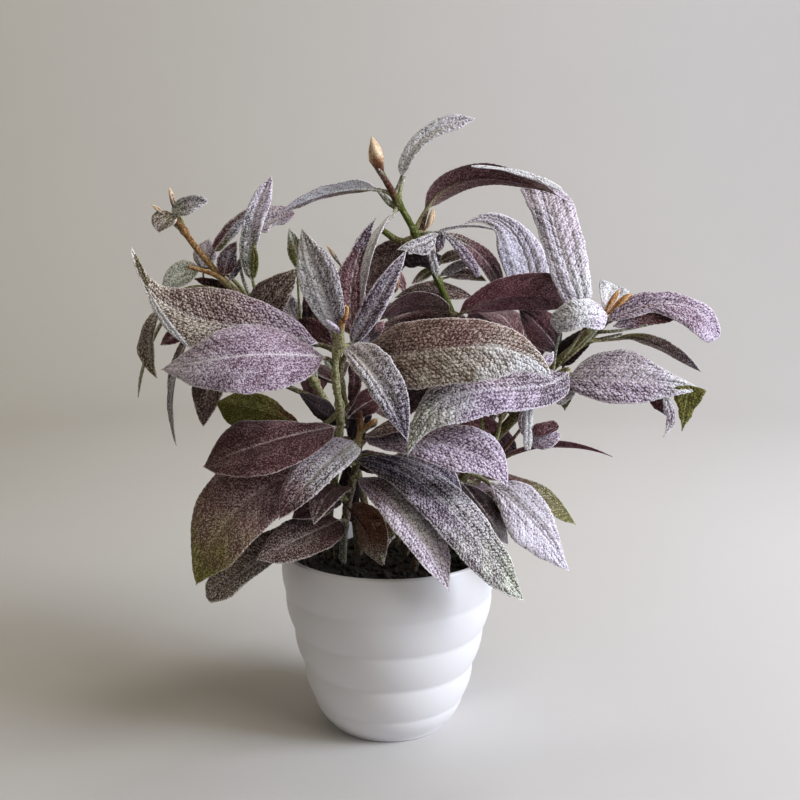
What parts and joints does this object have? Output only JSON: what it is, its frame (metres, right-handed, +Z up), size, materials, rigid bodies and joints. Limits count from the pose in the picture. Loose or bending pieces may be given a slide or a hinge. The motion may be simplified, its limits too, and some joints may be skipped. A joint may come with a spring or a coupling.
{
  "type": "potted sage",
  "caption": "Bushy sage plant with broad pebbled purple and silver leaves on several woody stems, in a round white banded pot filled with dark soil.",
  "frame": {"origin": "centre of the pot's flat foot, on the surface the pot stands on", "axes": "+Z up along the pot's axis, -Y towards the front, where the leaves hang over the rim, +X towards the plant's long right-hand shoot"},
  "size_m": [0.2782, 0.1821, 0.295],
  "materials": {
    "pot": "satin",
    "soil": "matte",
    "leaf": "matte",
    "stem": "matte",
    "bud": "matte"
  },
  "bodies": {
    "root": {"pot": "pot", "soil": "soil", "stem_front": "leaf", "stem_front_left": "leaf", "stem_centre": "leaf", "stem_left": "leaf", "stem_right": "leaf", "stem_low_right": "leaf", "stem_back_left": "leaf", "stem_back": "leaf", "stem_back_right": "leaf"}
  },
  "joints": []
}
